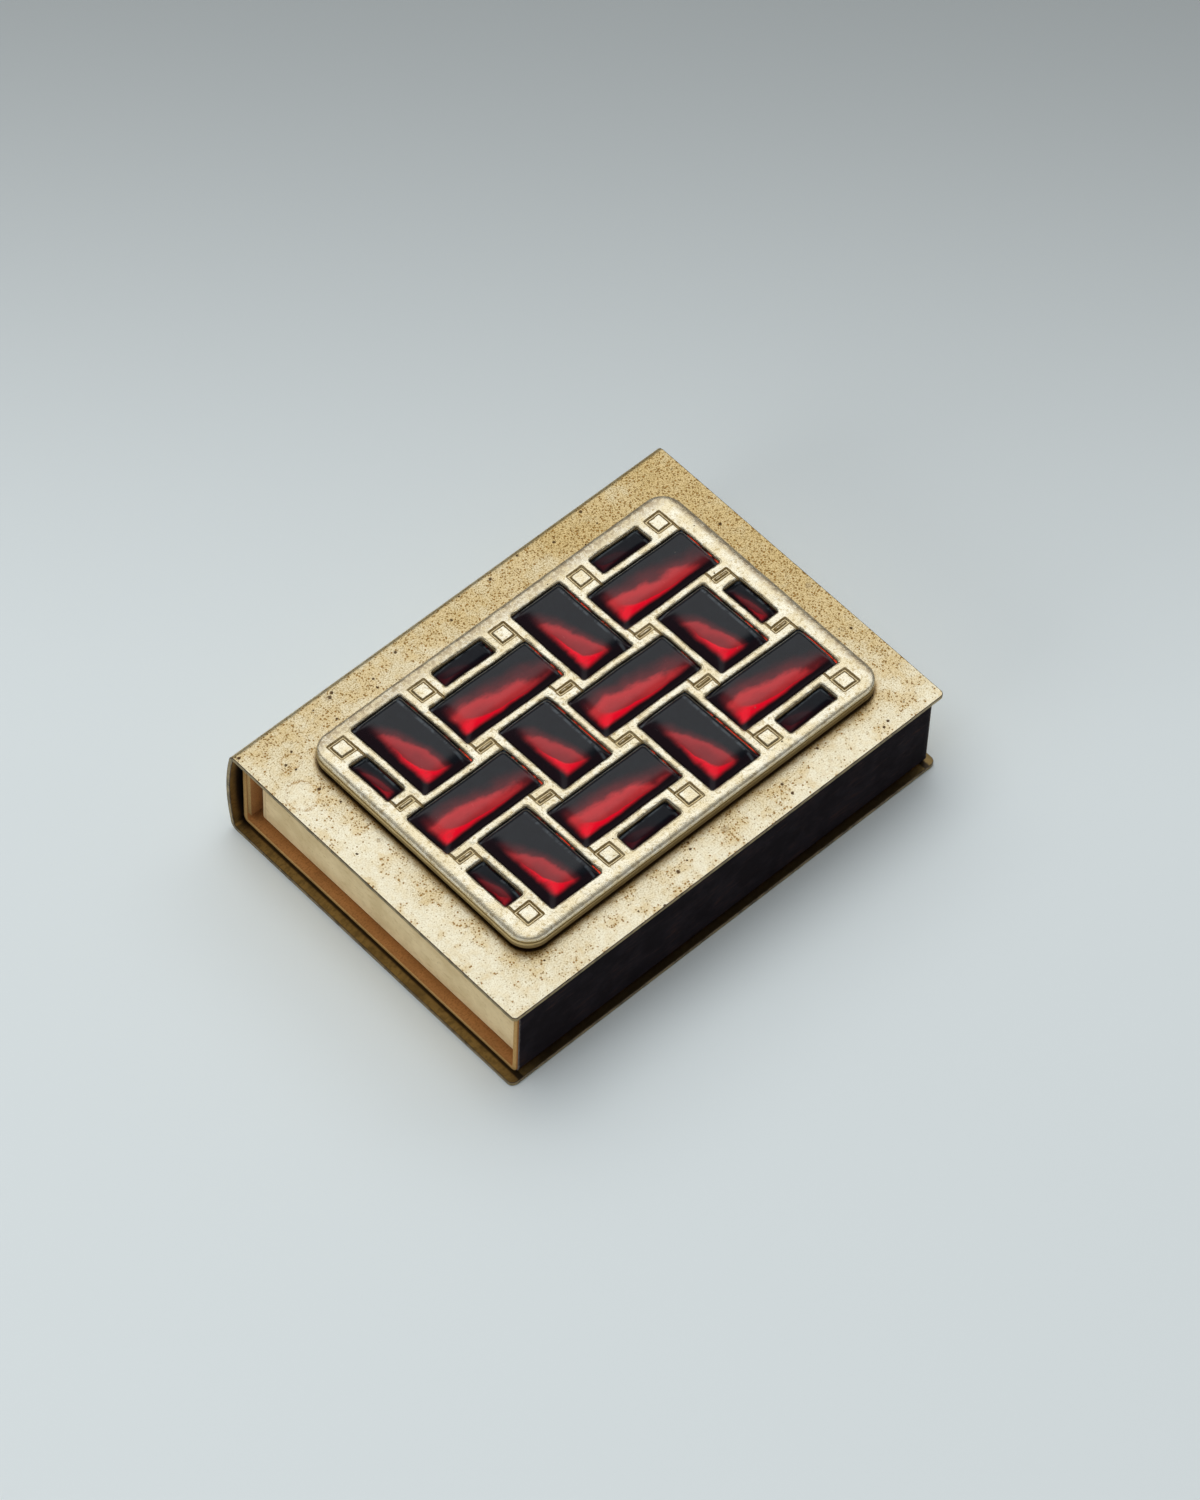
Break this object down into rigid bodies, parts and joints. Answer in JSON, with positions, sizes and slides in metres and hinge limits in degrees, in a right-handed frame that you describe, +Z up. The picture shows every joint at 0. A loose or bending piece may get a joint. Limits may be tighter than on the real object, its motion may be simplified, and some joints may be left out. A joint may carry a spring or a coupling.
{
  "type": "match case",
  "caption": "Book-shaped brass matchbox cover with a cast plaque of red enamel cells; the matchbox slides out of its open side and the tray out of either end.",
  "frame": {"origin": "middle of the bottom plate's underside, at the centre of the bounding box's base", "axes": "+X along the spine, +Y towards the spine, +Z up through the plaque; the striking side faces -Y"},
  "size_m": [0.055, 0.0402, 0.0138],
  "materials": {
    "brass": "satin, fine speckle of tarnish",
    "bond": "matt adhesive",
    "cast_metal": "pale cast metal, dark in its grooves",
    "red_enamel": "glossy deep red enamel",
    "dark_enamel": "glossy near-black red enamel",
    "sleeve_card": "brown card, paler at its cut edges",
    "striker": "rough striking strip",
    "tray_card": "cream card",
    "matchwood": "plain split wood",
    "match_head": "matt dipped head"
  },
  "bodies": {
    "cover": {"brass_cover": "brass", "plaque_bond": "bond", "cast_plaque": "cast_metal", "enamel_long_01": "red_enamel", "enamel_long_02": "red_enamel", "enamel_long_03": "red_enamel", "enamel_long_04": "red_enamel", "enamel_long_05": "red_enamel", "enamel_long_06": "red_enamel", "enamel_cross_01": "red_enamel", "enamel_cross_02": "red_enamel", "enamel_cross_03": "red_enamel", "enamel_cross_04": "red_enamel", "enamel_cross_05": "red_enamel", "enamel_cross_06": "red_enamel", "enamel_edge_01": "dark_enamel", "enamel_edge_02": "dark_enamel", "enamel_edge_03": "dark_enamel", "enamel_edge_04": "dark_enamel", "enamel_edge_05": "dark_enamel", "enamel_edge_06": "dark_enamel", "enamel_edge_07": "dark_enamel"},
    "matchbox": {"matchbox_sleeve": "sleeve_card", "striker_front": "striker", "striker_back": "striker"},
    "tray": {"match_tray": "tray_card", "match_stick_01": "matchwood", "match_stick_02": "matchwood", "match_stick_03": "matchwood", "match_stick_04": "matchwood", "match_stick_05": "matchwood", "match_stick_06": "matchwood", "match_stick_07": "matchwood", "match_stick_08": "matchwood", "match_stick_09": "matchwood", "match_stick_10": "matchwood", "match_head_01": "match_head", "match_head_02": "match_head", "match_head_03": "match_head", "match_head_04": "match_head", "match_head_05": "match_head", "match_head_06": "match_head", "match_head_07": "match_head", "match_head_08": "match_head", "match_head_09": "match_head", "match_head_10": "match_head"}
  },
  "joints": [
    {"name": "matchbox_slide", "type": "slide", "parent": "cover", "child": "matchbox", "axis": [0, -1, 0], "range_m": [0, 0.034]},
    {"name": "tray_slide", "type": "slide", "parent": "matchbox", "child": "tray", "axis": [-1, 0, 0], "range_m": [-0.044, 0.044]}
  ]
}
